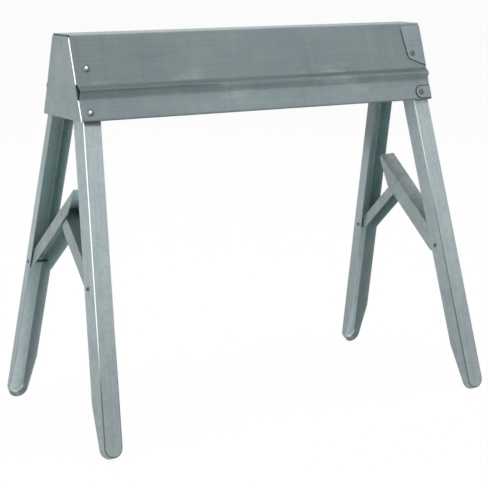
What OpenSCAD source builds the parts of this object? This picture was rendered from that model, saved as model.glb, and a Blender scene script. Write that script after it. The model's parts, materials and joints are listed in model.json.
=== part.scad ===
// Folding builders trestle in galvanised pressed steel.
// X runs along the beam, the front is towards -Y, Z is up and the feet stand on Z = 0.
// The part is the same after half a turn about Z: each end has one leg with the long brace
// and one leg with the short brace, and the two beam shells are the same pressing.

/* [Beam] */
// Length of the beam over its end plates
beam_l = 737; // [500:1:1200]
// Height of the top of the beam above the floor
stand_h = 692; // [560:1:900]
// Depth of the beam from its top to its lower edge
beam_h = 142; // [136:1:160]
// Width across the top of the beam
top_w = 64; // [56:1:80]
// Width across the lower edges of the beam
bottom_w = 159; // [150:1:172]
// Sheet thickness of the two shells
shell_t = 1.2; // [0.9:0.1:1.5]
// Outside radius of the bend between a side panel and the top
top_bend_r = 4; // [3:0.5:6]
// Outside radius of the bends at the end plates
corner_bend_r = 3; // [2.5:0.5:4]
// Depth of the two lips that meet under the middle of the top
seam_lip_h = 24; // [18:1:32]
// Distance that the seam lips stop short of the beam's ends
seam_lip_end = 32; // [20:1:60]
// Height of the folded hem along the lower edge of a side panel
hem_h = 7; // [5:0.5:7]
// Daylight between the top and the end plates under it
top_gap = 0.6; // [0.3:0.1:1.5]

/* [Stiffening rib] */
// Distance of the middle of the rib from the top, down the side panel
rib_s = 99; // [96:1:102]
// Height of the rib
rib_w = 27; // [24:1:30]
// How far the rib stands out of the side panel
rib_h = 8; // [6:0.5:10]
// Width of the relief notch where the rib meets the corner bend
notch_w = 7; // [5:0.5:10]

/* [End plate tabs] */
// Length of the upper tab at its top
upper_tab_l = 47; // [40:1:55]
// How much shorter the upper tab is at its lower corner
upper_tab_taper = 8; // [4:1:12]
// Distance of the upper tab's free corner from the top, down the side panel
upper_tab_low = 68; // [66:1:70]
// Drop of the upper tab's lower edge from its free corner to the bend
upper_tab_drop = 15; // [8:1:16]
// Distance of the upper tab's upper edge from the top, down the side panel
upper_tab_top = 6; // [5:1:9]
// Cut across the end plate's upper corner, above the upper tab
plate_cut = 3; // [2:0.5:4]
// Length of the lower tab
lower_tab_l = 35; // [32:1:40]
// Height of the lower tab
lower_tab_h = 22; // [18:1:24]
// Corner radius of the upper tab
upper_tab_r = 9; // [4:0.5:10]

/* [Leg hinges] */
// Distance of a leg's hinge pin from the middle of the beam, across it
hinge_y = 59; // [58:0.5:60]
// Height of the hinge pins below the top of the beam
hinge_drop = 94; // [92:0.5:96]
// Distance of a hinge pin's middle from the end of the beam
hinge_end = 26.2; // [26:0.1:34]
// Diameter of a hinge pin
hinge_pin_d = 7; // [6:0.5:8]
// Diameter of a hinge pin's heads
hinge_head_d = 11; // [9:0.5:12]
// Thickness of a hinge pin's heads
hinge_head_t = 1.8; // [1.5:0.1:2.4]
// Wall of a leg's ear around the hinge pin
ear_wall = 3; // [2.5:0.5:3]
// Width of a hinge strap
strap_w = 16; // [12:1:20]
// Thickness of a hinge strap
strap_t = 1.5; // [1.2:0.1:1.8]
// Distance of the upper corner rivet from the top, down the side panel
upper_rivet_s = 59; // [56:1:62]
// Distance of the lower corner rivet from the top, down the side panel
lower_rivet_s = 135; // [134:0.5:136]
// Offset of the domed corner rivets from a leg's middle line, towards the beam's end
dome_out = 4.5; // [0:0.5:5]
// Length of a hinge strap past its rivets
strap_end = 5; // [4.5:0.5:6]

/* [Legs] */
// Lean of a leg away from upright, across the beam
lean = 14.8; // [13:0.1:16]
// Splay of the ends' folding frames away from upright, along the beam
splay = 4.2; // [2:0.1:5]
// Width of a leg's web
leg_w = 33.5; // [30:0.5:34]
// Depth of a leg's flanges
leg_d = 29; // [26:1:32]
// Angle by which a leg's flanges open out
leg_flare = 9; // [6:0.5:9]
// Sheet thickness of the legs
leg_t = 1.5; // [1.2:0.1:1.8]
// Outside radius of a leg's long bends
leg_bend_r = 3; // [2.5:0.5:4]
// Distance of a leg's web outside its hinge pin
web_out = 2; // [1:0.5:2.5]
// Distance of the web's top edge below the hinge pin
web_drop = 50; // [48:0.5:54]
// Length over which the flanges taper down to the foot
foot_taper_l = 92; // [60:1:120]
// Depth of the rim round the foot
foot_rim_d = 16; // [10:0.5:18]

/* [Braces] */
// Distance of a brace's lower pivot below the hinge pin, down the leg
pivot_drop = 331; // [300:1:350]
// Distance of the lower pivots from the outer face of a leg's web
pivot_in = 18.5; // [17.5:0.5:20]
// Distance from a brace's lower pivot to the knee
brace_l = 166; // [160:0.5:172]
// Length of the long brace past the knee
brace_over = 64; // [50:1:80]
// Distance of the long brace's web above the line of its pivots
long_rise = 11; // [10:0.1:11.5]
// Distance of the short brace's web above the line of its pivots
short_rise = 6.5; // [6:0.1:7.5]
// Depth of the long brace's flange on the inside
long_d = 31.5; // [28:0.5:32]
// Depth of the long brace's flange on the outside
long_out_d = 25; // [24:0.5:27]
// Depth of the short brace's flange on the outside
short_d = 24; // [22:0.5:25]
// Depth of the short brace's flange on the inside
short_in_d = 20; // [18:0.5:21]
// Sheet thickness of the braces
brace_t = 1.5; // [1.2:0.1:1.8]
// Outside radius of a brace's long bends
brace_bend_r = 2.5; // [2:0.5:3]
// Width of the long brace's web
long_w = 32; // [30:0.5:32]
// Angle by which the long brace's flanges open out
long_flare = 5; // [4:0.5:6]
// Width of the short brace's web
short_w = 27; // [23:0.5:27]
// Angle by which the short brace's flanges open out
short_flare = 2; // [1:0.5:2]
// Flange depth left at the tip of the long brace
tip_d = 6; // [4:0.5:10]

/* [Rivets] */
// Diameter of the corner rivets
corner_rivet_d = 5; // [4:0.5:6]
// Diameter of a corner rivet's domed head
corner_head_d = 11; // [9:0.5:12]
// Height of a corner rivet's domed head
corner_head_h = 3; // [2:0.25:4]
// Height of the head of a corner rivet that holds a tab
tab_head_h = 1.4; // [1:0.1:2]
// Diameter of the hollow in the head of a corner rivet that holds a tab
tab_hollow_d = 5; // [4:0.5:6]
// Depth of the hollow in the head of a corner rivet that holds a tab
tab_hollow_h = 1.6; // [1:0.1:2]
// Diameter of a corner rivet's tail
corner_tail_d = 8; // [7:0.5:9]
// Height of a corner rivet's tail
corner_tail_h = 1.6; // [1:0.1:2]
// Diameter of the brace pivots
pivot_d = 6; // [5:0.5:7]
// Diameter of the heads of the brace pivots
pivot_head_d = 7.5; // [7:0.5:10]
// Thickness of the heads of the brace pivots
pivot_head_t = 1.2; // [0.8:0.1:1.6]
// Diameter of the hollow in the end of a brace pivot
pivot_hollow_d = 4; // [3:0.25:4.5]
// Depth of the hollow in the end of a brace pivot
pivot_hollow_h = 2.2; // [1:0.1:3]
// Diameter of a knee pin's heads
knee_head_d = 8; // [7:0.5:10]
// Thickness of a knee pin's heads
knee_head_t = 0.8; // [0.6:0.1:1.6]
// Length of the short brace's pivot rivets inside a leg's flange
stub_in = 1.2; // [0.5:0.1:1.5]
// Number of rivets along the seam
seam_rivets_n = 5; // [3:1:9]
// Diameter of the seam rivets
seam_rivet_d = 4; // [3:0.5:5]
// Diameter of the heads of the seam rivets
seam_head_d = 8; // [7:0.5:10]
// Height of the heads of the seam rivets
seam_head_h = 1.8; // [1.2:0.1:2.4]

/* [Fits] */
// Radial running clearance of a pivot
run_fit = 0.05; // [0.02:0.01:0.1]
// Clearance of a rivet or pin in the sheet that it fastens
rivet_fit = 0.05; // [0.02:0.01:0.1]
// Clearance between pieces that lie close together
lie_gap = 0.3; // [0.2:0.05:0.5]
// Clearance of the hinge strap's saddle over its pin
saddle_gap = 0.4; // [0.4:0.05:0.5]

/* [Hidden] */
$fn = 48;
// Steps of a bend's arc and of the rib's wave
bend_n = 5;
rib_n = 14;
// Overlap that joins shapes of one pressing
lap = 1;
// Reach of a cut past the metal that it removes
past = 20;

// Side panel: slope, length down the slope, and heights
slope = atan2((bottom_w - top_w) / 2, beam_h);
panel_l = beam_h / cos(slope);
low_z = stand_h - beam_h;
hem_r = shell_t + lie_gap;
panel_end = beam_l / 2 - corner_bend_r - lie_gap;
// Middle of the bend between the front panel and the top, as y and z
top_c = on_slope(top_bend_r * (1 - sin(slope)) / cos(slope), -top_bend_r);

// Hinge pin: place, and its place in the frame of the side panel
hinge_x = beam_l / 2 - hinge_end;
hinge_z = stand_h - hinge_drop;
hinge_s = hinge_drop * cos(slope) + (hinge_y - top_w / 2) * sin(slope);
hinge_n = (hinge_y - top_w / 2) * cos(slope) - hinge_drop * sin(slope);
strap_tilt = atan(tan(splay) * cos(slope));
ear_r = hinge_pin_d / 2 + ear_wall;
saddle_r = hinge_pin_d / 2 + saddle_gap;

// Leg: the foot's rounded end is set so that its rim touches the floor
foot_r = leg_w / 2;
foot_rim_r = foot_r + foot_rim_d * tan(leg_flare);
foot_reach = foot_rim_r * sqrt(pow(cos(lean) * cos(splay), 2) + pow(sin(splay), 2));
leg_l = (hinge_z - foot_reach + (web_out - foot_rim_d) * sin(lean) * cos(splay)) / (cos(lean) * cos(splay));
leg_face = leg_w / 2 + pivot_in * tan(leg_flare);
ear_face = leg_w / 2 + web_out * tan(leg_flare);

// Linkage in the plane of an end frame: lower pivots, angle of the braces and the knee's stop
pivot_v = web_out - pivot_in;
pivot_y = hinge_y + pivot_v * cos(lean) + pivot_drop * sin(lean);
pivot_z = pivot_v * sin(lean) - pivot_drop * cos(lean);
brace_a = acos(pivot_y / brace_l);
knee_r = long_rise - brace_t - lie_gap;
stop_l = (knee_r - short_rise * cos(2 * brace_a)) / sin(2 * brace_a);
long_low = long_d - long_rise;
short_low = short_d - short_rise;
long_l = brace_l + brace_over;
long_face = long_w / 2 + long_rise * tan(long_flare);

// Points of an arc, from angle a to angle b
function arc(c, r, a, b) = [
  for (i = [0:bend_n]) let (t = a + (b - a) * i / bend_n) [c[0] + r * cos(t), c[1] + r * sin(t)]
];
function unit(v) = v / norm(v);
function left_of(p, q) = let (d = unit(q - p)) [-d[1], d[0]];
// Offset of the sheet's other face at corner i of a path
function mitre(path, i) = let (
  last = len(path) - 1,
  a = i == 0 ? left_of(path[0], path[1]) : left_of(path[i - 1], path[i]),
  b = i == last ? a : left_of(path[i], path[i + 1])
) (a + b) / (1 + a * b);
// Section of a bent sheet whose outer face follows a path, with the metal on the path's left
function sheet(path, t) = concat(
  path,
  [for (i = [len(path) - 1:-1:0]) path[i] + mitre(path, i) * t]
);
// Rounded corner at q between the lines from p and to r
function corner(p, q, r, rad) = let (
  u = unit(p - q),
  v = unit(r - q),
  half = acos(u * v) / 2,
  c = q + unit(u + v) * rad / sin(half),
  a = q + u * rad / tan(half),
  b = q + v * rad / tan(half),
  m = c + unit(q - c) * rad
) [a, c + unit(a + m - 2 * c) * rad, m, c + unit(b + m - 2 * c) * rad, b];

// Point of the front panel, s down the slope and n out of the panel, as y and z
function on_slope(s, n) = [
  -top_w / 2 - s * sin(slope) - n * cos(slope),
  stand_h - s * cos(slope) + n * sin(slope)
];
// Half width of the beam at height z, n out of the side panel
function side_y(z, n) = top_w / 2 + (stand_h - z) * tan(slope) + n / cos(slope);
// Distance along the beam of a leg's middle line, s down the side panel
function leg_x(s) = hinge_x + (hinge_z - stand_h + s * cos(slope)) * tan(splay);

// Right half of a channel section: web on top at y = 0, flange opening outwards and down
function half_channel(w, d, flare, r) = concat(
  [[w / 2 + d * tan(flare), -d]],
  arc([w / 2 - r * (1 - sin(flare)) / cos(flare), -r], r, flare, 90)
);
function mirrored(path) = [for (i = [len(path) - 1:-1:0]) [-path[i][0], path[i][1]]];
function channel(w, d, flare, r, t) = let (half = half_channel(w, d, flare, r))
  sheet(concat(half, mirrored(half)), t);

// Frames
module turned() { rotate([0, 0, 180]) children(); }
module front_panel() { translate([0, -top_w / 2, stand_h]) rotate([90 - slope, 0, 0]) children(); }
module right_end() { translate([hinge_x, 0, hinge_z]) rotate([0, -splay, 0]) children(); }
module left_end() { turned() right_end() children(); }
module other_side() { mirror([0, 1, 0]) children(); }
module both_faces() {
  children();
  mirror([1, 0, 0]) children();
}
module along_beam(a, b) { translate([a, 0, 0]) rotate([90, 0, 90]) linear_extrude(b - a) children(); }
module down_slope(a, b) { translate([0, -a, 0]) rotate([90, 0, 0]) linear_extrude(b - a) children(); }
module across(w) { translate([-w / 2, 0, 0]) rotate([90, 0, 90]) linear_extrude(w) children(); }
module x_rod(d, l) { rotate([0, 90, 0]) cylinder(d = d, h = l, center = true); }

// Shell: side panel with its rib, hem and top bend
module side_panel() {
  hem_c = panel_l - hem_r;
  path = concat(
    [[top_c[0] + lap, stand_h]],
    arc(top_c, top_bend_r, 90, 180 - slope),
    [
      for (i = [0:rib_n])
        on_slope(rib_s + rib_w * (i / rib_n - 0.5), rib_h * (1 - cos(360 * i / rib_n)) / 2)
    ],
    [for (i = [0:bend_n]) let (t = 180 * i / bend_n) on_slope(hem_c + hem_r * sin(t), hem_r * (cos(t) - 1))],
    [on_slope(hem_c - hem_h, -2 * hem_r)]
  );
  along_beam(corner_bend_r - beam_l / 2, panel_end) polygon(sheet(path, shell_t));
}

// Shell: half of the top and the lip that hangs under the seam
module half_top() {
  translate([-beam_l / 2, top_c[0], stand_h - shell_t]) cube([beam_l, -top_c[0], shell_t]);
  translate([seam_lip_end - beam_l / 2, -shell_t, stand_h - seam_lip_h])
    cube([beam_l - 2 * seam_lip_end, shell_t, seam_lip_h - shell_t / 2]);
}

// Shell: end plate at the left end, and its bend to the front panel
module end_plate() {
  top_z = stand_h - shell_t - top_gap;
  tab_n = shell_t - corner_bend_r;
  translate([-beam_l / 2, 0, 0]) along_beam(0, shell_t) polygon([
    [-side_y(top_z, -corner_bend_r), top_z],
    [side_y(top_z, tab_n) - plate_cut, top_z],
    [side_y(top_z - plate_cut, tab_n), top_z - plate_cut],
    [side_y(low_z, tab_n), low_z],
    [-side_y(low_z, -corner_bend_r), low_z]
  ]);
  bend = concat(
    [[corner_bend_r + lap - beam_l / 2, 0]],
    arc([corner_bend_r - beam_l / 2, -corner_bend_r], corner_bend_r, 90, 180),
    [[-beam_l / 2, -corner_bend_r - lap]]
  );
  difference() {
    front_panel() down_slope(top_bend_r + top_gap, panel_l) polygon(sheet(bend, shell_t));
    front_panel() translate([-beam_l / 2, -rib_s, 0])
      cube([2 * notch_w, rib_w, 4 * corner_bend_r], center = true);
  }
}

// Tabs that lie on the front panel at the right end, bent from the end plate there
module tab_bend(a, b) {
  x = beam_l / 2 - corner_bend_r;
  path = concat(
    [[beam_l / 2, shell_t - corner_bend_r - lap]],
    arc([x, shell_t - corner_bend_r], corner_bend_r, 0, 90),
    [[x - lap, shell_t]]
  );
  down_slope(a, b) polygon(sheet(path, shell_t));
}
module tabs() {
  x = beam_l / 2 - corner_bend_r;
  root_s = upper_tab_low + upper_tab_drop;
  low_mid = lower_rivet_s;
  root = [x, -upper_tab_top];
  head = [beam_l / 2 - upper_tab_l, -upper_tab_top];
  foot = [beam_l / 2 - upper_tab_l + upper_tab_taper, -upper_tab_low];
  heel = [x, -root_s];
  front_panel() {
    linear_extrude(shell_t) polygon(concat(
      [root],
      corner(root, head, foot, upper_tab_r),
      corner(head, foot, heel, upper_tab_r),
      [heel]
    ));
    tab_bend(upper_tab_top, root_s);
    linear_extrude(shell_t) {
      translate([beam_l / 2 - lower_tab_l + lower_tab_h / 2, -low_mid]) circle(d = lower_tab_h);
      translate([beam_l / 2 - lower_tab_l + lower_tab_h / 2, -low_mid - lower_tab_h / 2])
        square([lower_tab_l - lower_tab_h / 2 - corner_bend_r, lower_tab_h]);
    }
    tab_bend(low_mid - lower_tab_h / 2, low_mid + lower_tab_h / 2);
  }
}

// Places of the two corner rivets of the front panel's right end, seen along the panel's normal
module corner_places(out) {
  for (s = [upper_rivet_s, lower_rivet_s]) translate([leg_x(s) + out, -s, 0]) children();
}
module corner_holes() {
  front_panel() {
    corner_places(0) cylinder(d = corner_rivet_d + 2 * rivet_fit, h = past, center = true);
    mirror([1, 0, 0]) corner_places(dome_out)
      cylinder(d = corner_rivet_d + 2 * rivet_fit, h = past, center = true);
  }
}
module seam_places() {
  pitch = (beam_l - 4 * seam_lip_end) / (seam_rivets_n - 1);
  for (i = [0:seam_rivets_n - 1])
    translate([2 * seam_lip_end - beam_l / 2 + i * pitch, 0, stand_h - (seam_lip_h + shell_t) / 2])
      rotate([90, 0, 0]) children();
}

// One beam shell: a side panel, half of the top, the left end plate and its tabs
module shell() {
  difference() {
    union() {
      side_panel();
      half_top();
      end_plate();
      turned() tabs();
    }
    corner_holes();
    turned() corner_holes();
    seam_places() cylinder(d = seam_rivet_d + 2 * rivet_fit, h = past, center = true);
  }
}
module beam_front_shell() { color("darkgray") shell(); }
module beam_back_shell() { color("darkgray") turned() shell(); }

// Domed head of a rivet, flat at z = 0
module dome(d, h) {
  r = (d * d / 4 + h * h) / (2 * h);
  intersection() {
    translate([0, 0, h - r]) sphere(r = r);
    cylinder(d = d, h = h);
  }
}
module seam_rivets() {
  color("silver") seam_places() {
    cylinder(d = seam_rivet_d, h = 2 * (shell_t + lie_gap), center = true);
    translate([0, 0, shell_t]) dome(seam_head_d, seam_head_h);
    mirror([0, 0, 1]) translate([0, 0, shell_t]) dome(seam_head_d, seam_head_h);
  }
}

// Shanks and tails of the corner rivets of the front panel's right end, up to a face at height out
module corner_shanks(out) {
  grip = shell_t + strap_t;
  translate([0, 0, -grip - lap]) cylinder(d = corner_rivet_d, h = grip + out + lap + rivet_fit);
  translate([0, 0, -grip - corner_tail_h]) cylinder(d = corner_tail_d, h = corner_tail_h);
}
// Rivets with full domes, where the panel runs round the corner
module dome_rivets() {
  front_panel() corner_places(dome_out) {
    corner_shanks(0);
    dome(corner_head_d, corner_head_h);
  }
}
// Rivets with low, hollow heads, where the tabs lie on the panel
module tab_rivets() {
  front_panel() corner_places(0) difference() {
    union() {
      corner_shanks(shell_t);
      translate([0, 0, shell_t]) dome(corner_head_d, tab_head_h);
    }
    translate([0, 0, shell_t + tab_head_h - tab_hollow_h])
      cylinder(d1 = tab_hollow_d / 2, d2 = tab_hollow_d, h = tab_hollow_h);
  }
}
module front_right_corner_rivets() { color("silver") tab_rivets(); }
module back_left_corner_rivets() { color("silver") turned() tab_rivets(); }
module front_left_corner_rivets() { color("silver") mirror([1, 0, 0]) dome_rivets(); }
module back_right_corner_rivets() { color("silver") turned() mirror([1, 0, 0]) dome_rivets(); }

// Hinge strap inside the front panel's right end, out from the leg's middle line: two feet and a
// saddle over the hinge pin
module strap(out) {
  foot_n = -shell_t;
  wall = saddle_r + strap_t;
  crown = [
    for (i = [0:2 * bend_n]) let (t = 180 * i / (2 * bend_n))
      [hinge_s - wall * cos(t), hinge_n - wall * sin(t)]
  ];
  foot_a = [upper_rivet_s - strap_end, foot_n - strap_t];
  foot_b = [lower_rivet_s + strap_end, foot_n - strap_t];
  path = concat(
    [foot_a, [hinge_s - wall, foot_n - strap_t]],
    crown,
    [[hinge_s + wall, foot_n - strap_t], foot_b]
  );
  front_panel() translate([leg_x(hinge_s), -hinge_s, 0]) rotate([0, 0, strap_tilt])
    translate([out, hinge_s, 0]) difference() {
      rotate([0, 0, -90]) rotate([90, 0, 0]) translate([0, 0, -strap_w / 2])
        linear_extrude(strap_w) polygon(sheet(path, strap_t));
      for (s = [upper_rivet_s, lower_rivet_s]) translate([0, -s, 0])
        cylinder(d = corner_rivet_d + 4 * lie_gap, h = past, center = true);
    }
}
module front_right_hinge_strap() { color("gray") strap(0); }
module back_left_hinge_strap() { color("gray") turned() strap(0); }
module front_left_hinge_strap() { color("gray") mirror([1, 0, 0]) strap(dome_out); }
module back_right_hinge_strap() { color("gray") turned() mirror([1, 0, 0]) strap(dome_out); }

// Leg frame: hinge pin at the origin, leg running down -Z, web facing +Y
module leg_frame() { translate([0, hinge_y, 0]) rotate([lean, 0, 0]) children(); }

// Flat head on the outside of a leg's flange that opens out, at depth v of the leg frame
module flange_head(face, v, d, t) {
  translate([face, v, 0]) rotate([0, 0, leg_flare]) rotate([0, 90, 0]) translate([0, 0, rivet_fit])
    cylinder(d = d, h = t);
}
module hinge_pin() {
  leg_frame() {
    x_rod(hinge_pin_d, 2 * ear_face + hinge_head_t);
    both_faces() flange_head(ear_face, 0, hinge_head_d, hinge_head_t);
  }
}
module back_right_hinge_pin() { color("silver") right_end() hinge_pin(); }
module front_right_hinge_pin() { color("silver") right_end() other_side() hinge_pin(); }
module front_left_hinge_pin() { color("silver") left_end() hinge_pin(); }
module back_left_hinge_pin() { color("silver") left_end() other_side() hinge_pin(); }

// Flange plates of the leg above the top of its web, out to the ears
module leg_ears() {
  out_y = ear_r;
  in_y = web_out - leg_d;
  side = leg_t / cos(leg_flare);
  outer_a = leg_w / 2 + (web_out - in_y) * tan(leg_flare);
  outer_b = leg_w / 2 + (web_out - out_y) * tan(leg_flare);
  edge_y = web_out - leg_t / 2;
  intersection() {
    both_faces() translate([0, 0, -web_drop - lap]) linear_extrude(web_drop + lap + ear_r)
      polygon([[outer_a, in_y], [outer_b, out_y], [outer_b - side, out_y], [outer_a - side, in_y]]);
    across(2 * leg_w) {
      circle(r = ear_r);
      polygon([
        [in_y, -web_drop - lap],
        [edge_y, -web_drop - lap],
        [edge_y, 0],
        [-ear_r, 0],
        [in_y, -web_drop / 2]
      ]);
    }
  }
}

// Leg: pressed channel with ears at the top and a rounded, rimmed foot
module leg() {
  half = half_channel(leg_w, leg_d, leg_flare, leg_bend_r);
  toe = leg_l + foot_rim_r;
  leg_frame() difference() {
    union() {
      translate([0, web_out, -leg_l]) linear_extrude(leg_l - web_drop)
        polygon(channel(leg_w, leg_d, leg_flare, leg_bend_r, leg_t));
      translate([0, web_out, -leg_l]) rotate([-90, 0, 0]) rotate_extrude(angle = 180)
        polygon(sheet(concat(half, [[0, 0]]), leg_t));
      leg_ears();
    }
    across(4 * leg_w) translate([web_out, 0]) polygon([
      [-leg_d, foot_taper_l - toe],
      [-foot_rim_d, -leg_l],
      [-foot_rim_d, -toe - past],
      [-leg_d - past, -toe - past],
      [-leg_d - past, foot_taper_l - toe]
    ]);
    x_rod(hinge_pin_d + 2 * rivet_fit, 4 * leg_w);
    translate([0, pivot_v, -pivot_drop]) x_rod(pivot_d + 2 * rivet_fit, 4 * leg_w);
  }
}
module back_right_leg() { color("gainsboro") right_end() leg(); }
module front_right_leg() { color("gainsboro") right_end() other_side() leg(); }
module front_left_leg() { color("gainsboro") left_end() leg(); }
module back_left_leg() { color("gainsboro") left_end() other_side() leg(); }

// Hollow in the outer end of a pivot
module pivot_hollow(face, v) {
  translate([face + rivet_fit + pivot_head_t - pivot_hollow_h, v, 0]) rotate([0, 90, 0])
    cylinder(d = pivot_hollow_d, h = past);
}
// Pin of the long brace's lower pivot, right through its leg
module long_pivot_pin() {
  leg_frame() translate([0, 0, -pivot_drop]) difference() {
    union() {
      translate([0, pivot_v, 0]) x_rod(pivot_d, 2 * leg_face + pivot_head_t);
      both_faces() flange_head(leg_face, pivot_v, pivot_head_d, pivot_head_t);
    }
    both_faces() pivot_hollow(leg_face, pivot_v);
  }
}
module right_long_pivot_pin() { color("dimgray") right_end() other_side() long_pivot_pin(); }
module left_long_pivot_pin() { color("dimgray") left_end() other_side() long_pivot_pin(); }

// Two rivets of the short brace's lower pivot, one in each flange of its leg
module short_pivot_rivets() {
  leg_frame() translate([0, 0, -pivot_drop]) both_faces() difference() {
    union() {
      translate([leg_face - leg_t - stub_in, pivot_v, 0]) rotate([0, 90, 0])
        cylinder(d = pivot_d, h = leg_t + stub_in + pivot_head_t / 2);
      flange_head(leg_face, pivot_v, pivot_head_d, pivot_head_t);
    }
    pivot_hollow(leg_face, pivot_v);
  }
}
module right_short_pivot_rivets() { color("dimgray") right_end() short_pivot_rivets(); }
module left_short_pivot_rivets() { color("dimgray") left_end() short_pivot_rivets(); }

// Brace frame: lower pivot at the origin, knee along +Z, web facing -Y
module brace_frame() { translate([0, -pivot_y, pivot_z]) rotate([brace_a - 90, 0, 0]) children(); }

// Brace channel cut to a side outline that its children draw; the flange on the given side is less deep
module brace_channel(w, d, rise, flare, l, side, side_d) {
  difference() {
    intersection() {
      translate([0, -rise, -d]) linear_extrude(l + 2 * d) mirror([0, 1, 0])
        polygon(channel(w, d, flare, brace_bend_r, brace_t));
      across(4 * w) children();
    }
    translate([side * w - w, side_d - rise, -d]) cube([2 * w, d, l + 2 * d]);
  }
}
// Side outline of the lower end, round about the pivot, from the flange's heel as far as the given length
module brace_root(rise, low, heel, l) {
  circle(r = rise);
  polygon([[-rise - lap, 0], [rise, 0], [low, heel], [low, l], [-rise - lap, l]]);
}
module long_brace() {
  brace_frame() difference() {
    brace_channel(long_w, long_d, long_rise, long_flare, long_l, 1, long_out_d) {
      brace_root(long_rise, long_low, long_rise / 3, brace_l);
      polygon([
        [-long_rise - lap, brace_l - lap],
        [long_low, brace_l - lap],
        [long_low, brace_l + long_rise],
        [tip_d - long_rise, long_l],
        [-long_rise - lap, long_l]
      ]);
    }
    x_rod(pivot_d + 2 * run_fit, 4 * long_w);
    translate([0, 0, brace_l]) x_rod(pivot_d + 2 * rivet_fit, 4 * long_w);
  }
}
module short_brace() {
  brace_frame() difference() {
    brace_channel(short_w, short_d, short_rise, short_flare, brace_l, -1, short_in_d) {
      brace_root(short_rise, short_low, short_rise, brace_l - short_d);
      translate([0, brace_l]) {
        circle(r = knee_r);
        polygon([
          [-short_rise - lap, -short_d - lap],
          [short_low, -short_d - lap],
          [short_low, -short_d],
          [knee_r, 0],
          [0, 0],
          knee_r * [-cos(2 * brace_a), sin(2 * brace_a)],
          [-short_rise, stop_l],
          [-short_rise - lap, stop_l]
        ]);
      }
    }
    translate([0, 0, brace_l]) x_rod(pivot_d + 2 * run_fit, 4 * short_w);
    x_rod(pivot_d + 2 * rivet_fit, 4 * short_w);
  }
}
module right_long_brace() { color("lightgray") right_end() long_brace(); }
module left_long_brace() { color("lightgray") left_end() long_brace(); }
module right_short_brace() { color("lightgray") right_end() other_side() short_brace(); }
module left_short_brace() { color("lightgray") left_end() other_side() short_brace(); }

// Knee pin through both braces, with its heads on the long brace
module knee_pin() {
  brace_frame() translate([0, 0, brace_l]) {
    x_rod(pivot_d, 2 * long_face + knee_head_t);
    both_faces() translate([long_face, 0, 0]) rotate([0, 0, -long_flare]) rotate([0, 90, 0])
      translate([0, 0, rivet_fit]) cylinder(d = knee_head_d, h = knee_head_t);
  }
}
module right_knee_pin() { color("dimgray") right_end() knee_pin(); }
module left_knee_pin() { color("dimgray") left_end() knee_pin(); }

beam_front_shell();
beam_back_shell();
seam_rivets();
front_left_leg();
back_left_leg();
front_right_leg();
back_right_leg();
front_left_hinge_pin();
back_left_hinge_pin();
front_right_hinge_pin();
back_right_hinge_pin();
front_left_hinge_strap();
back_left_hinge_strap();
front_right_hinge_strap();
back_right_hinge_strap();
front_left_corner_rivets();
back_left_corner_rivets();
front_right_corner_rivets();
back_right_corner_rivets();
left_long_brace();
left_short_brace();
right_long_brace();
right_short_brace();
left_long_pivot_pin();
right_long_pivot_pin();
left_short_pivot_rivets();
right_short_pivot_rivets();
left_knee_pin();
right_knee_pin();
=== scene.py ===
"""Folding builders trestle: galvanised finishes and a studio stage round the CAD frame."""

import json
import math

import bpy
from bpy.props import FloatProperty, FloatVectorProperty, PointerProperty
from mathutils import Matrix, Vector

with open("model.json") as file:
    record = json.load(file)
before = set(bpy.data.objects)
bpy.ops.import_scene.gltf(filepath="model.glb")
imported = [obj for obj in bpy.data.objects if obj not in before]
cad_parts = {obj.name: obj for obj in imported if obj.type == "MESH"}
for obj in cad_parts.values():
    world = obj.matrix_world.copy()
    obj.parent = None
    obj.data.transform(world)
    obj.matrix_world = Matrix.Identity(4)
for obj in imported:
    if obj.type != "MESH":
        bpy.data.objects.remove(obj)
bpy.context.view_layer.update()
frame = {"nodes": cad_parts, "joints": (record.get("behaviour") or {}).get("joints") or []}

bl_info = {
    "name": "Folding Trestle",
    "version": (1, 0, 0),
    "blender": (4, 5, 0),
    "location": "3D View > Sidebar > Trestle",
    "description": "Dresses the CAD frame of a folding builders trestle in galvanised steel",
    "category": "Object",
}

MM = 0.001

# Sizes of the CAD solids that the finishes follow, in mm
BEAM_L, STAND_H, TOP_W, BOTTOM_W, BEAM_H = 737.0, 692.0, 64.0, 159.0, 142.0
SLOPE = math.atan2((BOTTOM_W - TOP_W) / 2, BEAM_H)
PANEL_L = BEAM_H / math.cos(SLOPE)
SHELL_T = 1.2
RIB_S, RIB_W = 99.0, 27.0
UPPER_TAB_L, UPPER_TAB_TAPER, UPPER_TAB_R = 47.0, 8.0, 9.0
UPPER_TAB_TOP, UPPER_TAB_LOW, UPPER_TAB_DROP = 6.0, 68.0, 15.0
LOWER_TAB_L, LOWER_TAB_H = 35.0, 22.0
RIVET_S, RIVET_END = (59.0, 135.0), (23.9, 18.5)
TAB_HEAD_H = 1.4
LEAN = math.radians(14.8)
LEG_W, LEG_L, LEG_TOP, WEB_OUT = 33.5, 597.0, 50.0, 2.0
LEG_FLARE = math.radians(9.0)
BRACE_L, PIVOT_FACE = 166.0, 18.5

# Depths under the outer faces of legs and braces where the outside ends and the inside starts, in mm
SKIN, CORE = 0.6, 0.9

CORNERS = ("front_left", "back_left", "front_right", "back_right")
ENDS = ("left", "right")
# Corners with domed rivets: those at the other two are low, hollow and set in the tabs
DOMED = ("front_left", "back_right")
# Width of each brace's web, its height over the line of pivots and the flare of the flanges,
# then the shares of painted shadow on the web and of painted shade inside
BRACES = {
    "long_brace": (32.0, 11.0, math.radians(5.0), 0.10, 0.05),
    "short_brace": (27.0, 6.5, math.radians(2.0), 0.85, 0.18),
}
# Share of painted light on the outer faces of the braces' flanges, at each end
FLANGE_PAINTED_LIGHT = {"left": 0.0, "right": 0.22}
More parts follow.
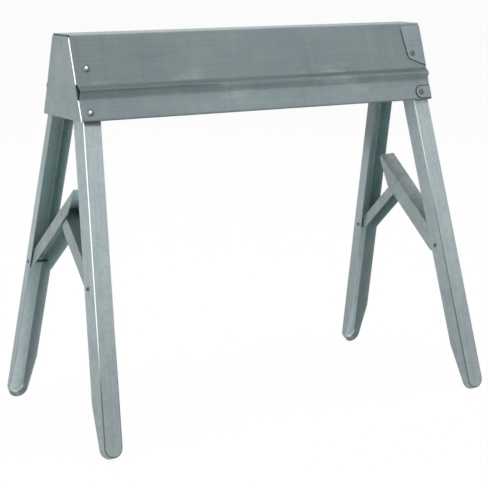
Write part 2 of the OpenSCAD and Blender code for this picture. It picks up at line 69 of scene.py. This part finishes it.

# Painted highlight along a leg's bends: its greatest share, and where it starts and stops down the leg
# in mm.
# Then the shares of painted shadow on the web just under the beam and of painted shade on the outer
# faces below it
LEG_PAINTED_LIGHT = {
    "front_left": (1.0, -100.0, 430.0, 0.85, 0.0),
    "front_right": (0.80, -100.0, 190.0, 0.15, 0.0),
    "back_left": (0.6, 330.0, 700.0, 0.40, 0.22),
    "back_right": (0.6, 330.0, 700.0, 0.40, 0.52),
}

# Share of each axis that the streaks of a zinc run across, then the depth of its spangle, cloudy
# patches, streaks and grain
PATTERNS = {
    "beam": ((0.02, 1.0, 1.0), (0.10, 0.50, 0.40, 0.15)),
    "plate": ((1.0, 0.15, 0.15), (0.12, 0.70, 0.15, 0.25)),
    "leg": ((1.0, 1.0, 0.02), (0.12, 0.32, 0.35, 0.42)),
    "brace": ((1.0, 1.0, 0.05), (0.15, 0.40, 0.25, 0.50)),
}
# The cooler tone of some patches, against the zinc's own
COOL = (0.97, 1.0, 1.05)
# How fast and how far the crystals' edges wander, per mm and in mm
WANDER_RATE, WANDER = 0.3, 6.0
# Sizes of the marks in mm: upright bands, mottled dust, brown patches and pale smudges on the beam,
# and stains on the braces
BAND, MOTTLE, PATCH, SMUDGE, STAIN = 15.0, 9.0, 130.0, 38.0, 30.0
# Distances from the beam's end with tabs over which its rib goes from rubbed to dusty, and its
# panel from pale to dull
RUBBED, PALE = (430.0, 520.0), (470.0, 640.0)
# Rivet heads in mm: the painted shade ring round them, their painted highlight in the middle, and the
# reach of their own finish
RING_R, GLINT_R, HEAD_REACH = 6.4, 2.7, (7.0, 8.0)
# Size, detail and roughness of the grain on small steel pieces
HEAD_GRAIN = (0.8, 3.0, 0.7)
# Depth of the bumps in m, on sheet and on small steel pieces
SHEET_BUMP, HEAD_BUMP = 0.00012, 0.00004

# Places of a mix node's colours among its inputs, and of the mixed colour among its outputs
MIX_A, MIX_B, MIX_RESULT = 6, 7, 2

# Studio in m: each lamp's place, the point that it faces and its size
AIM = (0.0, 0.0, 0.42)
LAMPS = {
    "key": ((1.9, -3.4, 3.3), AIM, (3.5, 2.5)),
    "top": ((-0.1, -0.3, 4.0), (-0.1, -0.3, 0.0), (3.0, 2.4)),
    "side": ((-3.2, -0.3, 1.2), AIM, (2.0, 1.8)),
    "back": ((0.8, 2.6, 3.6), AIM, (3.0, 2.4)),
}
FLOOR_SIZE, FLOOR_ROUGHNESS = 60.0, 0.9
# Share of plain white that the floor shows, the rest being its shaded colour
FLOOR_WHITE = 0.96
WHITE = (1.0, 1.0, 1.0, 1.0)
CAMERA_PLACE = (-1.3838, -2.3059, 0.8402)
CAMERA_YAW, CAMERA_PITCH, CAMERA_ROLL = (math.radians(x) for x in (30.868, 11.561, -0.046))
SENSOR_MM = 36.0


def colour(name, description, default):
    """A colour that the user can change."""
    return FloatVectorProperty(
        name=name, description=description, subtype="COLOR", size=3, min=0.0, max=1.0, default=default
    )


def length(name, description, default_mm):
    """A length that the user can change."""
    return FloatProperty(
        name=name,
        description=description,
        subtype="DISTANCE",
        unit="LENGTH",
        min=0.1 * MM,
        default=default_mm * MM,
    )


def share(name, description, default, top=1.0):
    """A plain number that the user can change."""
    return FloatProperty(name=name, description=description, min=0.0, max=top, default=default)


def power(name, description, default):
    """A lamp's power that the user can change."""
    return FloatProperty(name=name, description=description, unit="POWER", min=0.0, default=default)


class TrestleSheet(bpy.types.PropertyGroup):
    """Galvanised sheet of the beam, legs and braces."""

    beam: colour("Beam", "Zinc of the two beam shells", (0.138, 0.171, 0.173))
    plate: colour("End plates", "Zinc of the end plates", (0.245, 0.284, 0.287))
    leg: colour("Legs", "Zinc of the legs", (0.337, 0.387, 0.388))
    brace: colour("Braces", "Zinc of the braces", (0.270, 0.310, 0.304))
    strap: colour("Straps", "Dull zinc of the hinge straps and tab rivets", (0.150, 0.175, 0.175))
    # Pale smudges, and the colour of painted highlights along the bends, the tabs' rims, the legs'
    # creases and the toes
    burnish_and_highlight: colour("Bends", "Burnished zinc along the outer bends", (0.90, 0.92, 0.92))
    grime: colour("Grime", "Dust and grime on the ribs and braces", (0.094, 0.095, 0.084))
    # Painted shade: a greenish tone inside the legs at the top and inside the braces
    painted_inside_shade: colour("Shelter", "Greenish zinc inside the legs and braces", (0.260, 0.366, 0.352))
    # Oxide tint in the rib's dust and at the pivots, and painted shadow on the braces' webs
    oxide_and_shade: colour("Oxide", "Dull dark zinc where nothing rubs it", (0.050, 0.105, 0.103))
    # Also painted shade and shadow: round the tabs, under the top's overhang, on the rivets, along the
    # leg bends and under the beam
    seam: colour("Seams", "Dark of laps, slots and edges", (0.030, 0.042, 0.042))
    spangle: length("Spangle", "Size of the zinc crystals", 11.0)
    blotch: length("Blotch", "Size of the cloudy patches", 70.0)
    streak: length("Streak", "Width of the rolling streaks", 3.5)
    grain: length("Grain", "Size of the fine grain", 3.0)
    roughness: share("Roughness", "Roughness of the zinc", 0.52)
    metallic: share("Metallic", "Metallic share of the zinc", 0.28)


class TrestleFasteners(bpy.types.PropertyGroup):
    """Rivets and pins."""

    rivet: colour("Rivets", "Bright plated rivets", (0.78, 0.81, 0.81))
    pin: colour("Pins", "Dull steel of the hinge pins and brace pivots", (0.150, 0.170, 0.168))


class TrestleStage(bpy.types.PropertyGroup):
    """Floor, lamps and camera."""

    floor: colour("Floor", "Pale floor", (0.86, 0.86, 0.86))
    room: colour("Room", "Colour of the even light from all round", (0.62, 1.0, 0.97))
    ambient: share("Ambient", "Strength of the even light from all round", 0.11, 2.0)
    key: power("Key", "Power of the lamp above the front", 85.0)
    top: power("Top", "Power of the lamp overhead", 110.0)
    side: power("Side", "Power of the lamp on the left", 44.0)
    back: power("Back", "Power of the lamp behind", 68.0)
    lens: FloatProperty(
        name="Lens", description="Focal length", subtype="DISTANCE_CAMERA", default=107.99
    )


GROUPS = {
    "trestle_sheet": TrestleSheet,
    "trestle_fasteners": TrestleFasteners,
    "trestle_stage": TrestleStage,
}


class Wire:
    """A shader socket that takes part in Python expressions."""

    def __init__(self, finish, socket):
        self.finish, self.socket = finish, socket

    def maths(self, operation, *values):
        return self.finish.add("ShaderNodeMath", {"operation": operation}, dict(enumerate(values)))

    def __add__(self, other):
        return self.maths("ADD", self, other)

    def __sub__(self, other):
        return self.maths("SUBTRACT", self, other)

    def __rsub__(self, other):
        return self.maths("SUBTRACT", other, self)

    def __mul__(self, other):
        return self.maths("MULTIPLY", self, other)

    def __abs__(self):
        return self.maths("ABSOLUTE", self)

    __radd__ = __add__
    __rmul__ = __mul__

    def least(self, other):
        return self.maths("MINIMUM", self, other)

    def most(self, other):
        return self.maths("MAXIMUM", self, other)

    def root(self):
        return self.maths("SQRT", self)

    def sign(self):
        return self.maths("SIGN", self)

    def blend_most(self, other, width):
        """The greater of two values, rounded over a width where they are close."""
        return self.maths("SMOOTH_MAX", self, other, width)

    def away(self, other):
        """Length of the hypotenuse of two sides."""
        return (self * self + other * other).root()

    def fade(self, start, end):
        """1 where the value is at start, 0 where it is at end, smooth between."""
        return self.finish.add(
            "ShaderNodeMapRange",
            {"interpolation_type": "SMOOTHSTEP", "clamp": True},
            {"Value": self, "From Min": start, "From Max": end, "To Min": 1.0, "To Max": 0.0},
        )


def rgba(value):
    """A wire as it is, or a plain colour made opaque."""
    return value if isinstance(value, Wire) else (*value, 1.0)


class Nodes:
    """The node tree of a material or of the world, emptied."""

    def __init__(self, owner):
        owner.use_nodes = True
        self.tree = owner.node_tree
        self.tree.nodes.clear()

    def put(self, socket, value):
        """Links a socket to a wire, or sets it to a plain value."""
        if isinstance(value, Wire):
            self.tree.links.new(value.socket, socket)
        else:
            socket.default_value = value

    def add(self, kind, settings=None, inputs=None, output=0):
        """Adds a node, with its settings first and then its sockets' values or links."""
        node = self.tree.nodes.new(kind)
        for key, value in (settings or {}).items():
            setattr(node, key, value)
        for key, value in (inputs or {}).items():
            self.put(node.inputs[key], value)
        return Wire(self, node.outputs[output]) if node.outputs else node

    def seen(self):
        """1 for rays that show a surface as such: from the camera, mirrored or through glass."""
        path = self.add("ShaderNodeLightPath").socket.node
        camera, glossy, through = (
            Wire(self, path.outputs[f"Is {kind} Ray"]) for kind in ("Camera", "Glossy", "Transmission")
        )
        return camera.most(glossy).most(through)


class Finish(Nodes):
    """A node material with one Principled shader."""

    def __init__(self, name):
        self.material = bpy.data.materials.new(name)
        super().__init__(self.material)
        self.shader = self.add("ShaderNodeBsdfPrincipled").socket.node
        self.surface = Wire(self, self.shader.outputs[0])
        self.output = self.add("ShaderNodeOutputMaterial", None, {"Surface": self.surface})

    def place(self, matrix=None):
        """Object coordinates in mm, seen from the frame that the matrix gives."""
        point = self.add("ShaderNodeTexCoord", output="Object")
        back = (matrix or Matrix()).inverted()
        return self.add(
            "ShaderNodeMapping",
            {"vector_type": "POINT"},
            {
                "Vector": point,
                "Location": tuple(x / MM for x in back.translation),
                "Rotation": tuple(back.to_euler()),
                "Scale": (1 / MM,) * 3,
            },
        )

    def axes(self, point):
        node = self.add("ShaderNodeSeparateXYZ", inputs={0: point}).socket.node
        return [Wire(self, node.outputs[i]) for i in range(3)]

    def stretch(self, point, scale):
        return self.add("ShaderNodeVectorMath", {"operation": "MULTIPLY"}, {0: point, 1: scale})

    def noise(self, point, size, detail=2.0, roughness=0.5):
        inputs = {"Vector": point, "Scale": 1 / size, "Detail": detail, "Roughness": roughness}
        return self.add("ShaderNodeTexNoise", None, inputs)

    def mix(self, amount, a, b):
        """Colour a where the amount is 0 and colour b where it is 1."""
        return self.add(
            "ShaderNodeMix",
            {"data_type": "RGBA", "clamp_factor": True},
            {"Factor": amount, MIX_A: rgba(a), MIX_B: rgba(b)},
            output=MIX_RESULT,
        )

    def tint(self, base, factor):
        """A colour made lighter or darker by a factor that varies."""
        grey = self.add("ShaderNodeCombineColor", None, {0: factor, 1: factor, 2: factor})
        return self.add(
            "ShaderNodeMix",
            {"data_type": "RGBA", "blend_type": "MULTIPLY"},
            {"Factor": 1.0, MIX_A: rgba(base), MIX_B: grey},
            output=MIX_RESULT,
        )

    def close(self, base, roughness, metallic, height=None, depth=SHEET_BUMP):
        """Links the finish to the shader, with bumps where there is a height."""
        self.put(self.shader.inputs["Base Color"], rgba(base))
        self.put(self.shader.inputs["Roughness"], roughness)
        self.put(self.shader.inputs["Metallic"], metallic)
        if height is not None:
            relief = {"Strength": 1.0, "Distance": depth, "Height": height}
            self.put(self.shader.inputs["Normal"], self.add("ShaderNodeBump", None, relief))
        return self.material


def zinc(finish, point, base, sheet, along, contrast):
    """Spangle, cloudy patches, rolling streaks and grain: colour, roughness and bump height.

    along is the share of each axis that the streaks run across, and contrast is the depth of each of
    the four patterns.
    """
    wander = {"Vector": point, "Scale": WANDER_RATE, "Detail": 3.0}
    drift = finish.add("ShaderNodeTexNoise", None, wander, output="Color")
    shift = finish.stretch(drift, (WANDER,) * 3)
    warped = finish.add("ShaderNodeVectorMath", {"operation": "ADD"}, {0: point, 1: shift})
    spangle = {"Vector": warped, "Scale": MM / sheet.spangle}
    cells = finish.add("ShaderNodeTexVoronoi", None, spangle, output="Color")
    crystal = finish.axes(cells)[0]
    cloud = finish.noise(point, sheet.blotch / MM, 4.0, 0.6)
    streak = finish.noise(finish.stretch(point, along), sheet.streak / MM, 3.0, 0.6)
    grain = finish.noise(point, sheet.grain / MM, 2.0, 0.7)
    tone = 1.0
    for pattern, depth in zip((crystal, cloud, streak, grain), contrast):
        tone = depth * (pattern - 0.5) + tone
    if isinstance(base, Wire):
        cool = finish.stretch(base, COOL)
    else:
        cool = tuple(own * factor for own, factor in zip(base, COOL))
    patchy = finish.mix(cloud.fade(0.35, 0.65), base, cool)
    rough = sheet.roughness - 0.06 + 0.08 * crystal + 0.06 * cloud
    return finish.tint(patchy, tone), rough, 0.5 * streak + 0.3 * crystal + 0.2 * grain


def end_frame(end):
    """Frame of an end's folding plane, midway between its hinge pins, and half their distance."""
    fold = next(j for j in frame["joints"] if j["name"] == f"{end}_fold")
    axis, place = Vector(fold["axis"]), Vector(fold["pos_m"])
    up = Vector((0, 0, 1)) - axis * axis.z
    up.normalize()
    turn = Matrix((axis, up.cross(axis), up)).transposed().to_4x4()
    return Matrix.Translation((place.x, 0, place.z)) @ turn, abs(place.y)


def leg_frame(corner):
    """Frame of a leg at its hinge pin: X across the web, Y out of it, Z up the leg."""
    side, end = corner.split("_")
    base, half = end_frame(end)
    far = (side == "back") == (end == "right")
    turned = Matrix() if far else Matrix.Rotation(math.pi, 4, "Z")
    return base @ turned @ Matrix.Translation((0, half, 0)) @ Matrix.Rotation(LEAN, 4, "X")


def brace_frame(end, name):
    """Frame of a brace at its lower pivot: X across the web, Y out of it, Z up the brace."""
    joints = {j["name"]: j for j in frame["joints"]}
    foot, knee = (Vector(joints[f"{end}_{joint}"]["pos_m"]) for joint in ("long_brace_pivot", "knee"))
    if name == "short_brace":
        foot.y = -foot.y
    up = (knee - foot).normalized()
    out = up.cross(Vector(joints[f"{end}_knee"]["axis"]))
    out *= math.copysign(1.0, out.z)
    return Matrix.Translation(foot) @ Matrix((out.cross(up), out, up)).transposed().to_4x4()


def inside_of(x, y, web_w, web_y, flare):
    """1 on the inner faces of a channel, 0 on its outer ones."""
    from_face = web_w / 2 + (web_y - y) * math.tan(flare) - abs(x)
    return from_face.fade(CORE, SKIN) * y.fade(web_y - CORE, web_y - SKIN)


def dress(node, material):
    """Gives a CAD node its finish."""
    slots = frame["nodes"][node].data.materials
    slots.clear()
    slots.append(material)


def panel_axes(finish, point):
    """Across the side panel from its end with tabs, down it and out of it, and the height."""
    x, y, z = finish.axes(point)
    down, side = STAND_H - z, abs(y) - TOP_W / 2
    from_tabs = BEAM_L / 2 + x * y.sign()
    fall = down * math.cos(SLOPE) + side * math.sin(SLOPE)
    out = side * math.cos(SLOPE) - down * math.sin(SLOPE)
    return from_tabs, fall, out, z


def tab_edge(across, fall):
    """Distance outside the nearer of the two tabs, in mm, and inside them as a negative number."""
    taper = UPPER_TAB_TAPER / (UPPER_TAB_LOW - UPPER_TAB_TOP)
    reach = UPPER_TAB_L - taper * (fall - UPPER_TAB_TOP)
    drop = UPPER_TAB_DROP / (UPPER_TAB_L - UPPER_TAB_TAPER)
    low = UPPER_TAB_LOW + drop * (UPPER_TAB_L - UPPER_TAB_TAPER - across)
    upper = (across - reach).blend_most((fall - low) * math.cos(math.atan(drop)), UPPER_TAB_R)
    upper = upper.blend_most(UPPER_TAB_TOP - fall, UPPER_TAB_R)
    past_round = (across - (LOWER_TAB_L - LOWER_TAB_H / 2)).most(0.0)
    lower = past_round.away(fall - RIVET_S[1]) - LOWER_TAB_H / 2
    return upper.least(lower)


def beam_finish(sheet):
    """Zinc of the shells: dust on the rib, painted shadow round the tabs, end plates and painted
    highlights on the corners.
    """
    finish = Finish("beam_zinc")
    point = finish.place()
    across, fall, out, z = panel_axes(finish, point)
    tabs = tab_edge(across, fall)
    end = across.least(BEAM_L - across).fade(1.3, 2.2)
    side = (1.0 - end) * abs(out).fade(10.0, 13.0)

    # Panel: upright bands, paler towards the tabs, on them and below the rib
    base, rough, height = zinc(finish, point, sheet.beam, sheet, *PATTERNS["beam"])
    bands = finish.noise(finish.stretch(point, (1.0, 0.05, 0.05)), BAND, 3.0, 0.65)
    base = finish.tint(base, 0.76 + 0.26 * bands + 0.10 * across.fade(*PALE))
    strip = fall.fade(RIB_S + 8.0, RIB_S)
    base = finish.tint(base, 1.0 + 0.26 * side * strip.most(tabs.fade(-0.5, 0.5)))

    # Rib: a dusty ledge over a crest, both rubbed towards the tabs and dull elsewhere
    rubbed = across.fade(*RUBBED)
    mottle = finish.noise(finish.stretch(point, (0.25, 1.0, 1.0)), MOTTLE, 4.0, 0.65)
    patch = finish.noise(point, PATCH).fade(0.62, 0.42)
    ledge = side * abs(fall - (RIB_S - RIB_W * 0.24)).fade(RIB_W * 0.08, RIB_W * 0.28)
    crest = side * abs(fall - RIB_S - 2.2).fade(0.8, 2.8) * rubbed
    dust = ledge.most(0.8 * side * abs(fall - RIB_S + 2.0).fade(3.0, 5.0) * (1.0 - rubbed))
    base = finish.tint(base, 1.0 + 0.20 * crest - dust * (0.48 - 0.12 * rubbed + 0.24 * mottle))
    base = finish.mix(0.35 * dust * (1.0 - rubbed), base, sheet.oxide_and_shade)
    base = finish.mix(0.7 * ledge * patch * rubbed * mottle, base, sheet.grime)

    # Dark edges: the hem, painted shadow lines round the tabs and a painted shade ring round each
    # domed rivet
    hem = (PANEL_L - fall).fade(1.0, 6.0)
    slant = abs(fall - UPPER_TAB_LOW - 8.0).fade(8.0, 14.0)
    under_bend = 1.0 - fall.fade(UPPER_TAB_TOP + 1.0, UPPER_TAB_TOP + 6.0)
    # Painted shadow lines just outside the tabs
    lap = abs(tabs - SHELL_T).fade(1.0, 2.1) * (1.0 - 0.4 * slant) * under_bend
    dark = (0.35 * hem).most(0.80 * lap)
    for drop, inset in zip(RIVET_S, RIVET_END):
        # Painted shade of the dimple round each domed rivet
        ring = abs((BEAM_L - across - inset).away(fall - drop) - RING_R).fade(0.4, 1.6)
        dark = dark.most(0.40 * ring)
    base = finish.mix(side * dark, base, sheet.seam)

    # Pale smudges about the rib, and a painted highlight along the rims of the tabs
    smudge = finish.noise(finish.stretch(point, (0.45, 1.0, 1.0)), SMUDGE, 4.0, 0.6).fade(0.70, 0.50)
    # Painted highlight just inside the tabs' rims
    rim = abs(tabs + 1.5).fade(0.3, 1.3)
    smudge_and_rim_highlight = (smudge * 0.10 * abs(fall - RIB_S).fade(8.0, 45.0) * (1.0 - ledge)).most(0.06 * rim)
    base = finish.mix(side * smudge_and_rim_highlight, base, sheet.burnish_and_highlight)

    # Ends: plates with a painted shadow along the top edge, and a painted highlight on the corner bend
    # where the panel has no tabs
    plate, _, _ = zinc(finish, point, sheet.plate, sheet, *PATTERNS["plate"])
    base = finish.mix(end, base, plate)
    # Painted shadow under the top's overhang along the end plates' top edge
    base = finish.mix(0.7 * end * (STAND_H - z).fade(2.6, 4.2), base, sheet.seam)
    # Painted highlight along the corner bend
    bend_highlight = (BEAM_L - across - 0.4).away(out + 0.4).fade(0.7, 1.4)
    base = finish.mix(bend_highlight, base, sheet.burnish_and_highlight)
    return finish.close(base, rough - 0.18 * bend_highlight, sheet.metallic + 0.4 * bend_highlight, height)


def leg_finish(corner, sheet):
    """Zinc of a leg: painted shade and painted light inside, painted highlight or shade along its
    bends, painted highlight in the toe.
    """
    finish = Finish(f"{corner}_leg_zinc")
    point = finish.place(leg_frame(corner))
    x, y, z = finish.axes(point)
    gleam, start, stop, dark, dull = LEG_PAINTED_LIGHT[corner]
    fall = 0.0 - z
    low = fall.fade(0.85 * LEG_L, 0.35 * LEG_L)
    spread = x.away((fall - LEG_L).most(0.0))
    inside = inside_of(spread, y, LEG_W, WEB_OUT, LEG_FLARE)

    # Sheet: painted shade (greenish) inside at the top, painted light inside lower down, darker
    # towards the foot, and painted shade outside under the beam
    tone = finish.mix(inside * (1.0 - low), sheet.leg, sheet.painted_inside_shade)
    base, rough, height = zinc(finish, point, tone, sheet, *PATTERNS["leg"])
    # Painted light from the floor on the inside of the web towards the foot
    painted_floor_light = 0.15 + 0.88 * spread.fade(LEG_W / 2 - 3.5, LEG_W / 2 - 2.0)
    # Painted shade on the outer faces just under the beam
    painted_beam_shade = dull * (1.0 - inside) * fall.fade(LEG_TOP + 70.0, LEG_TOP + 140.0)
    shade = 0.20 * fall.fade(LEG_L, 0.35 * LEG_L) + painted_beam_shade
    base = finish.tint(base, 1.0 - shade + inside * low * painted_floor_light)

    # Dark: painted shade along the bends, and a painted shadow of the beam's hem on the web just under
    # it
    from_bend = (spread - LEG_W / 2 + 0.5).away(y - WEB_OUT + 0.5)
    bend = from_bend.fade(0.5, 1.2)
    line = (0.60 * bend).most(0.75 * low * from_bend.fade(0.8, 1.9) * (1.0 - inside))
    # Painted shadow of the beam's hem across the top of the web
    painted_hem_shadow = dark * fall.fade(LEG_TOP + 6.0, LEG_TOP + 11.0) * y.fade(WEB_OUT - SKIN, WEB_OUT - CORE)
    base = finish.mix(line.most(painted_hem_shadow), base, sheet.seam)

    # Painted highlights: along the bends, in the crease inside them and inside the toe
    bend_highlight = gleam * bend * fall.fade(stop - 40.0, stop + 90.0) * fall.fade(start + 20.0, start - 20.0)
    crease = inside * (spread - LEG_W / 2 + 2.0).away(y - WEB_OUT + 2.0).fade(0.8, 1.6)
    toe = inside * fall.fade(LEG_L + 6.0, LEG_L - 4.0)
    glint = toe * (spread - LEG_W / 2 + 3.0).away(y - WEB_OUT + 3.0).fade(1.5, 4.0)
    base = finish.mix(bend_highlight.most(0.25 * crease).most(0.7 * glint), base, sheet.burnish_and_highlight)
    shine = bend_highlight.most(toe)
    return finish.close(base, rough - 0.20 * shine, sheet.metallic + 0.4 * shine, height)


def brace_finish(end, name, sheet):
    """Zinc of a brace: painted shade (greenish) inside, painted shadow on its web, painted light on
    its flanges at one end and inside its tip.
    """
    web_w, rise, flare, dull, shade = BRACES[name]
    finish = Finish(f"{end}_{name}_zinc")
    point = finish.place(brace_frame(end, name))
    x, y, z = finish.axes(point)
    inside = inside_of(x, y, web_w, rise, flare)
    tone = finish.mix(inside, sheet.brace, sheet.painted_inside_shade)
    base, rough, height = zinc(finish, point, tone, sheet, *PATTERNS["brace"])
    web, outer = y.fade(rise - SKIN, rise - CORE), 1.0 - inside
    # Painted light inside the tip past the knee and painted shade inside below it; painted light on
    # the outer flanges at one end
    tip_light = 0.90 * z.fade(BRACE_L + 30.0, BRACE_L)
    base = finish.tint(base, 1.0 + inside * (tip_light - shade) + FLANGE_PAINTED_LIGHT[end] * outer * (1.0 - web))
    # Painted shadow on the web
    base = finish.mix(dull * web, base, sheet.oxide_and_shade)
    stain = finish.noise(point, STAIN, 4.0, 0.65).fade(0.62, 0.40)
    base = finish.mix((0.16 + 0.18 * web) * stain * outer, base, sheet.grime)
    return finish.close(base, rough, sheet.metallic, height)


def tab_rivet_finish(sheet):
    """Low hollow heads: zinc like the panel's, with painted shade in the hollow and round the foot of
    the head.
    """
    finish = Finish("tab_rivet_zinc")
    point = finish.place()
    _, _, out, _ = panel_axes(finish, point)
    grain = finish.noise(point, *HEAD_GRAIN)
    # Painted shade in the hollow and round the foot of the head
    crown = out.fade(SHELL_T + TAB_HEAD_H * 0.75, SHELL_T + TAB_HEAD_H * 0.35)
    base = finish.mix(crown, sheet.seam, sheet.strap)
    return finish.close(finish.tint(base, 0.85 + 0.3 * grain), 0.42, sheet.metallic, grain, HEAD_BUMP)


def dome_rivet_finish(sheet, fasteners):
    """Domed heads: bright plate with a painted highlight in the middle, and painted shade on the lower
    right and round the rim.
    """
    finish = Finish("dome_rivet_plate")
    point = finish.place()
    across, fall, _, _ = panel_axes(finish, point)
    grain = finish.noise(point, *HEAD_GRAIN)
    shade = None
    for drop, inset in zip(RIVET_S, RIVET_END):
        left, below = across + inset - BEAM_L, fall - drop
        radius = left.away(below)
        # Painted shade on the lower right side and round the rim, painted highlight in the middle
        near = (0.7 * (below - left)).most(radius - GLINT_R) * radius.fade(*HEAD_REACH)
        shade = near if shade is None else shade.most(near)
    base = finish.mix(0.85 * shade.fade(1.2, -0.6), fasteners.rivet, sheet.seam)
    return finish.close(finish.tint(base, 0.85 + 0.3 * grain), 0.30, 0.75, grain, HEAD_BUMP)


def pivot_finish(end, sheet, fasteners):
    """Brace pivots: dull steel heads outside the leg, dark zinc between its flanges."""
    finish = Finish(f"{end}_pivot_steel")
    point = finish.place(end_frame(end)[0])
    grain = finish.noise(point, *HEAD_GRAIN)
    inside = abs(finish.axes(point)[0]).fade(PIVOT_FACE - 1.0, PIVOT_FACE)
    base = finish.mix(inside, fasteners.pin, sheet.oxide_and_shade)
    return finish.close(finish.tint(base, 0.80 + 0.4 * grain), 0.45, 0.5, grain, HEAD_BUMP)


def plain_finish(name, tone, roughness, metallic):
    """Small steel pieces: fine grain and faint patches."""
    finish = Finish(name)
    point = finish.place()
    grain, cloud = finish.noise(point, *HEAD_GRAIN), finish.noise(point, 6.0, 3.0, 0.6)
    base = finish.tint(tone, 0.78 + 0.18 * grain + 0.26 * cloud)
    return finish.close(base, roughness - 0.06 + 0.12 * cloud, metallic, grain, HEAD_BUMP)


class TRESTLE_OT_beam(bpy.types.Operator):
    """Finish the two beam shells, their hinge straps and rivets"""

    bl_idname = "trestle.beam"
    bl_label = "Beam"

    def execute(self, context):
        sheet, fasteners = context.scene.trestle_sheet, context.scene.trestle_fasteners
        shell = beam_finish(sheet)
        for node in ("beam_front_shell", "beam_back_shell"):
            dress(node, shell)
        strap = plain_finish("strap_zinc", sheet.strap, 0.55, 0.6)
        bright = plain_finish("rivet_plate", fasteners.rivet, 0.22, 1.0)
        dress("seam_rivets", bright)
        domed, dull = dome_rivet_finish(sheet, fasteners), tab_rivet_finish(sheet)
        for corner in CORNERS:
            dress(f"{corner}_hinge_strap", strap)
            dress(f"{corner}_corner_rivets", domed if corner in DOMED else dull)
        return {"FINISHED"}


class TRESTLE_OT_legs(bpy.types.Operator):
    """Finish the four legs and their hinge pins"""

    bl_idname = "trestle.legs"
    bl_label = "Legs"

    def execute(self, context):
        sheet, fasteners = context.scene.trestle_sheet, context.scene.trestle_fasteners
        pin = plain_finish("hinge_steel", fasteners.pin, 0.45, 0.7)
        for corner in CORNERS:
            dress(f"{corner}_leg", leg_finish(corner, sheet))
            dress(f"{corner}_hinge_pin", pin)
        return {"FINISHED"}


class TRESTLE_OT_braces(bpy.types.Operator):
    """Finish the braces and their pivots"""

    bl_idname = "trestle.braces"
    bl_label = "Braces"

    def execute(self, context):
        sheet, fasteners = context.scene.trestle_sheet, context.scene.trestle_fasteners
        for end in ENDS:
            zincs = {name: brace_finish(end, name, sheet) for name in BRACES}
            for name, material in zincs.items():
                dress(f"{end}_{name}", material)
            dress(f"{end}_knee_pin", zincs["long_brace"])
            pin = pivot_finish(end, sheet, fasteners)
            for piece in ("long_pivot_pin", "short_pivot_rivets"):
                dress(f"{end}_{piece}", pin)
        return {"FINISHED"}


def lamp(name, place, target, size, watts):
    """A soft rectangular lamp that faces its target."""
    bpy.ops.object.light_add(type="AREA", location=place)
    light = bpy.context.object
    light.name = name
    light.rotation_mode = "QUATERNION"
    light.rotation_quaternion = (Vector(target) - Vector(place)).to_track_quat("-Z", "Y")
    light.data.shape = "RECTANGLE"
    light.data.size, light.data.size_y = size
    light.data.energy = watts


def lay_floor(stage):
    """A pale floor that shows white and keeps the shadow."""
    bpy.ops.mesh.primitive_plane_add(size=FLOOR_SIZE, location=(0, 0, 0))
    floor = bpy.context.object
    floor.name = "floor"
    finish = Finish("pale_floor")
    finish.close(stage.floor, FLOOR_ROUGHNESS, 0.0)
    glow = finish.add("ShaderNodeEmission", None, {"Color": WHITE, "Strength": 1.0})
    layers = {0: FLOOR_WHITE * finish.seen(), 1: finish.surface, 2: glow}
    finish.put(finish.output.inputs["Surface"], finish.add("ShaderNodeMixShader", None, layers))
    floor.data.materials.append(finish.material)


def hang_backdrop(scene, stage):
    """A white backdrop, and even light from all round."""
    scene.world = bpy.data.worlds.new("studio")
    sky = Nodes(scene.world)
    even = {"Color": rgba(stage.room), "Strength": stage.ambient}
    room = sky.add("ShaderNodeBackground", None, even)
    backdrop = sky.add("ShaderNodeBackground", None, {"Color": WHITE, "Strength": 1.0})
    either = sky.add("ShaderNodeMixShader", None, {0: sky.seen(), 1: room, 2: backdrop})
    sky.add("ShaderNodeOutputWorld", None, {"Surface": either})


def set_camera(scene, stage):
    """The camera, a little above the beam and left of the middle."""
    turn = (
        Matrix.Rotation(-CAMERA_YAW, 4, "Z")
        @ Matrix.Rotation(math.pi / 2 - CAMERA_PITCH, 4, "X")
        @ Matrix.Rotation(CAMERA_ROLL, 4, "Z")
    )
    bpy.ops.object.camera_add(location=CAMERA_PLACE, rotation=turn.to_euler())
    camera = bpy.context.object
    camera.name = "camera"
    camera.data.lens = stage.lens
    camera.data.sensor_width = SENSOR_MM
    scene.camera = camera


class TRESTLE_OT_stage(bpy.types.Operator):
    """Lay the floor, hang the lamps and set the camera"""

    bl_idname = "trestle.stage"
    bl_label = "Stage"

    def execute(self, context):
        scene, stage = context.scene, context.scene.trestle_stage
        scene.view_settings.view_transform = "Standard"
        lay_floor(stage)
        hang_backdrop(scene, stage)
        for name, (place, target, size) in LAMPS.items():
            lamp(f"{name}_lamp", place, target, size, getattr(stage, name))
        set_camera(scene, stage)
        return {"FINISHED"}


OPERATORS = (TRESTLE_OT_beam, TRESTLE_OT_legs, TRESTLE_OT_braces, TRESTLE_OT_stage)


class TRESTLE_PT_panel(bpy.types.Panel):
    """Sidebar panel that lists the sizes, colours and steps"""

    bl_idname = "TRESTLE_PT_panel"
    bl_label = "Folding Trestle"
    bl_space_type = "VIEW_3D"
    bl_region_type = "UI"
    bl_category = "Trestle"

    def draw(self, context):
        for name, group in GROUPS.items():
            box = self.layout.box()
            box.label(text=group.__doc__)
            for prop in group.__annotations__:
                box.prop(getattr(context.scene, name), prop)
        for operator in OPERATORS:
            self.layout.operator(operator.bl_idname)


CLASSES = (*GROUPS.values(), *OPERATORS, TRESTLE_PT_panel)


def register():
    for cls in CLASSES:
        bpy.utils.register_class(cls)
    for name, group in GROUPS.items():
        setattr(bpy.types.Scene, name, PointerProperty(type=group))


def unregister():
    for name in GROUPS:
        delattr(bpy.types.Scene, name)
    for cls in reversed(CLASSES):
        bpy.utils.unregister_class(cls)


def main():
    register()
    bpy.ops.object.select_all(action="DESELECT")
    bpy.ops.trestle.beam()
    bpy.ops.trestle.legs()
    bpy.ops.trestle.braces()
    bpy.ops.trestle.stage()


if __name__ == "__main__":
    main()
